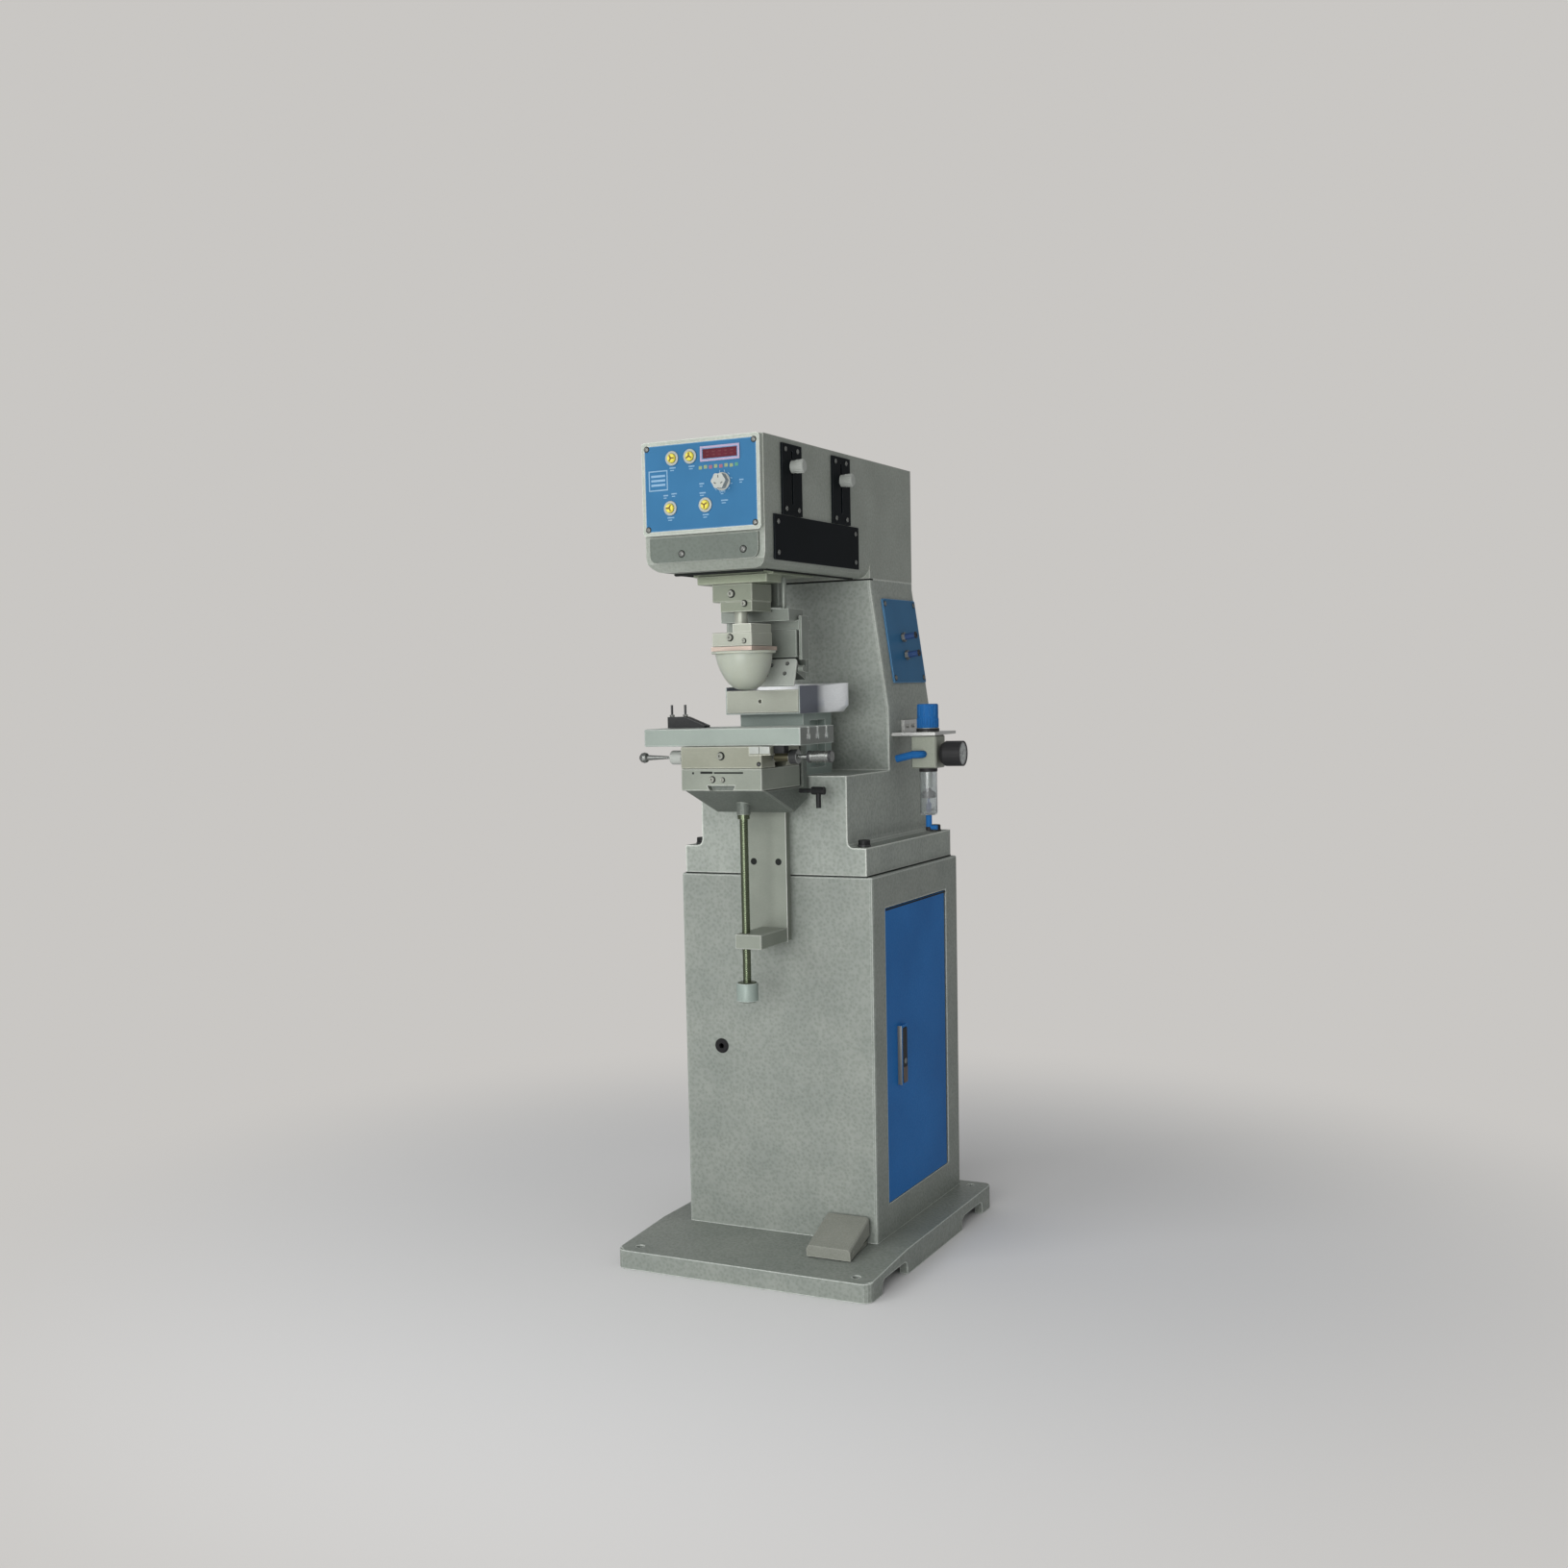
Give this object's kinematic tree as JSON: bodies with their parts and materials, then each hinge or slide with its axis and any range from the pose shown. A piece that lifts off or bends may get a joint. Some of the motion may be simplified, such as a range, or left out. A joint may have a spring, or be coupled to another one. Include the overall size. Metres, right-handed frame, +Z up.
{
  "type": "pad printing machine",
  "caption": "Floor-standing pad printer: open ink tray, shuttling carriage with doctor unit and silicone pad, T-slot cross table on a dovetail knee, foot pedal.",
  "frame": {"origin": "middle of the bounding box, on the floor", "axes": "+X to the machine's right, +Y to its back, +Z up"},
  "size_m": [0.41, 0.5792, 1.15],
  "materials": {
    "base_plate": "hammertone paint",
    "cabinet": "hammertone paint",
    "cabinet_grommet": "matt",
    "door": "satin paint",
    "door_latch": "matt",
    "valve_bank": "satin",
    "pedal_base": "matt",
    "pedal_treadle": "matt paint",
    "column": "hammertone paint",
    "head_housing": "hammertone paint",
    "head_front_cover": "satin paint",
    "control_panel": "satin print",
    "display_window": "gloss",
    "push_button_1": "satin",
    "push_button_2": "satin",
    "push_button_3": "satin",
    "push_button_4": "satin",
    "selector_knob": "satin",
    "nose_cover": "satin paint",
    "stroke_strip_front": "anodised black",
    "stroke_strip_rear": "anodised black",
    "stroke_knob_front": "turned",
    "stroke_knob_rear": "turned",
    "side_guard": "anodised black",
    "valve_panel": "satin paint",
    "air_fitting_upper": "satin",
    "air_fitting_lower": "satin",
    "regulator_bracket": "bright plate",
    "regulator_body": "cast",
    "regulator_knob": "satin",
    "regulator_elbow": "satin",
    "gauge_body": "satin",
    "gauge_needle": "painted",
    "filter_bowl": "clear",
    "bowl_drain": "satin",
    "guide_plate": "ground",
    "nut_bracket": "plated",
    "knee": "ground",
    "lift_screw": "turned",
    "clamp_lever": "blackened",
    "slide_lower": "machined",
    "slide_upper": "machined",
    "work_table": "machined",
    "table_screw": "blackened",
    "toe_clamp": "blackened",
    "carriage": "machined",
    "rail_left": "ground",
    "rail_right": "ground",
    "stroke_cylinder": "drawn",
    "pad_ram_block": "machined",
    "pad_rod": "machined",
    "pad_backing": "raw",
    "silicone_pad": "silicone",
    "blade_hanger": "machined",
    "blade_holder": "machined",
    "doctor_blade": "ground",
    "tray_riser": "painted",
    "ink_tray": "polished",
    "plate_holder": "machined",
    "cliche_plate": "polished"
  },
  "bodies": {
    "stand": {"base_plate": "base_plate", "cabinet": "cabinet", "cabinet_grommet": "cabinet_grommet", "valve_bank": "valve_bank", "pedal_base": "pedal_base", "column": "column", "head_housing": "head_housing", "head_front_cover": "head_front_cover", "control_panel": "control_panel", "display_window": "display_window", "nose_cover": "nose_cover", "stroke_strip_front": "stroke_strip_front", "stroke_strip_rear": "stroke_strip_rear", "side_guard": "side_guard", "valve_panel": "valve_panel", "air_fitting_upper": "air_fitting_upper", "air_fitting_lower": "air_fitting_lower", "regulator_bracket": "regulator_bracket", "regulator_body": "regulator_body", "regulator_elbow": "regulator_elbow", "gauge_body": "gauge_body", "filter_bowl": "filter_bowl", "bowl_drain": "bowl_drain", "guide_plate": "guide_plate", "nut_bracket": "nut_bracket", "rail_left": "rail_left", "rail_right": "rail_right", "stroke_cylinder": "stroke_cylinder", "tray_riser": "tray_riser", "ink_tray": "ink_tray", "plate_holder": "plate_holder", "cliche_plate": "cliche_plate"},
    "cabinet_door": {"door": "door"},
    "latch_lever": {"door_latch": "door_latch"},
    "treadle": {"pedal_treadle": "pedal_treadle"},
    "button_1": {"push_button_1": "push_button_1"},
    "button_2": {"push_button_2": "push_button_2"},
    "button_3": {"push_button_3": "push_button_3"},
    "button_4": {"push_button_4": "push_button_4"},
    "selector": {"selector_knob": "selector_knob"},
    "front_stroke_stop": {"stroke_knob_front": "stroke_knob_front"},
    "rear_stroke_stop": {"stroke_knob_rear": "stroke_knob_rear"},
    "pressure_knob": {"regulator_knob": "regulator_knob"},
    "pressure_needle": {"gauge_needle": "gauge_needle"},
    "shuttle": {"carriage": "carriage", "pad_ram_block": "pad_ram_block", "blade_hanger": "blade_hanger"},
    "pad_ram": {"pad_rod": "pad_rod", "pad_backing": "pad_backing", "silicone_pad": "silicone_pad"},
    "blade_unit": {"blade_holder": "blade_holder", "doctor_blade": "doctor_blade"},
    "lift_knee": {"knee": "knee"},
    "knee_screw": {"lift_screw": "lift_screw"},
    "knee_clamp": {"clamp_lever": "clamp_lever"},
    "cross_slide": {"slide_lower": "slide_lower"},
    "table": {"slide_upper": "slide_upper", "work_table": "work_table", "toe_clamp": "toe_clamp"},
    "table_spindle": {"table_screw": "table_screw"}
  },
  "joints": [
    {"name": "door_hinge", "type": "hinge", "parent": "stand", "child": "cabinet_door", "pos_m": [0.1325, 0.20815, 0.2968], "axis": [0, 0, 1], "range_deg": [0, 95]},
    {"name": "latch_hinge", "type": "hinge", "parent": "cabinet_door", "child": "latch_lever", "pos_m": [0.14475, 0.02215, 0.32875], "axis": [0, -1, 0], "range_deg": [0, 30]},
    {"name": "treadle_hinge", "type": "hinge", "parent": "stand", "child": "treadle", "pos_m": [0.0985, -0.14502, 0.04326], "axis": [-1, 0, 0], "range_deg": [0, 8], "stiffness_Nm_per_rad": 3, "springref_deg": -8.59},
    {"name": "button_1_press", "type": "slide", "parent": "stand", "child": "button_1", "axis": [0, 1, 0], "range_m": [0, 0.002], "stiffness_N_per_m": 800, "springref_m": -0.001},
    {"name": "button_2_press", "type": "slide", "parent": "stand", "child": "button_2", "axis": [0, 1, 0], "range_m": [0, 0.002], "stiffness_N_per_m": 800, "springref_m": -0.001},
    {"name": "button_3_press", "type": "slide", "parent": "stand", "child": "button_3", "axis": [0, 1, 0], "range_m": [0, 0.002], "stiffness_N_per_m": 800, "springref_m": -0.001},
    {"name": "button_4_press", "type": "slide", "parent": "stand", "child": "button_4", "axis": [0, 1, 0], "range_m": [0, 0.002], "stiffness_N_per_m": 800, "springref_m": -0.001},
    {"name": "selector_turn", "type": "hinge", "parent": "stand", "child": "selector", "pos_m": [0.0229, -0.28335, 1.0917], "axis": [0, 1, 0], "range_deg": [-150, 150]},
    {"name": "front_stop_slide", "type": "slide", "parent": "stand", "child": "front_stroke_stop", "axis": [0, 0, 1], "range_m": [-0.04, 0.015]},
    {"name": "rear_stop_slide", "type": "slide", "parent": "stand", "child": "rear_stroke_stop", "axis": [0, 0, 1], "range_m": [-0.04, 0.015]},
    {"name": "pressure_turn", "type": "hinge", "parent": "stand", "child": "pressure_knob", "pos_m": [0.1505, 0.12265, 0.775], "axis": [0, 0, 1], "range_deg": [-360, 360]},
    {"name": "needle_turn", "type": "hinge", "parent": "stand", "child": "pressure_needle", "pos_m": [0.2023, 0.12265, 0.7223], "axis": [-1, 0, 0], "range_deg": [0, 270], "stiffness_Nm_per_rad": 0.0001, "springref_deg": -17.19},
    {"name": "shuttle_slide", "type": "slide", "parent": "stand", "child": "shuttle", "axis": [0, 1, 0], "range_m": [0, 0.105]},
    {"name": "pad_stroke", "type": "slide", "parent": "shuttle", "child": "pad_ram", "axis": [0, 0, 1], "range_m": [-0.045, 0], "stiffness_N_per_m": 400, "springref_m": 0.04},
    {"name": "blade_drop", "type": "slide", "parent": "shuttle", "child": "blade_unit", "axis": [0, 0, 1], "range_m": [-0.0044, 0], "stiffness_N_per_m": 2000, "springref_m": 0.01},
    {"name": "knee_lift", "type": "slide", "parent": "stand", "child": "lift_knee", "axis": [0, 0, 1], "range_m": [-0.1, 0.04]},
    {"name": "knee_screw_turn", "type": "hinge", "parent": "lift_knee", "child": "knee_screw", "pos_m": [-0.0095, -0.17135, 0.6], "axis": [0, 0, 1], "range_deg": [-12100, 4900]},
    {"name": "clamp_turn", "type": "hinge", "parent": "lift_knee", "child": "knee_clamp", "pos_m": [0.0505, -0.11535, 0.6815], "axis": [1, 0, 0], "range_deg": [-70, 70]},
    {"name": "table_slide_y", "type": "slide", "parent": "lift_knee", "child": "cross_slide", "axis": [0, 1, 0], "range_m": [-0.012, 0.008]},
    {"name": "table_slide_x", "type": "slide", "parent": "cross_slide", "child": "table", "axis": [1, 0, 0], "range_m": [-0.02, 0.02]},
    {"name": "table_spindle_turn", "type": "hinge", "parent": "table", "child": "table_spindle", "pos_m": [-0.0095, -0.20035, 0.732], "axis": [1, 0, 0], "range_deg": [-2500, 2500]}
  ],
  "couplings": [
    {"joint": "knee_screw_turn", "follows": "knee_lift", "rad_per_m": 2094.4},
    {"joint": "table_spindle_turn", "follows": "table_slide_x", "rad_per_m": 2094.4}
  ]
}
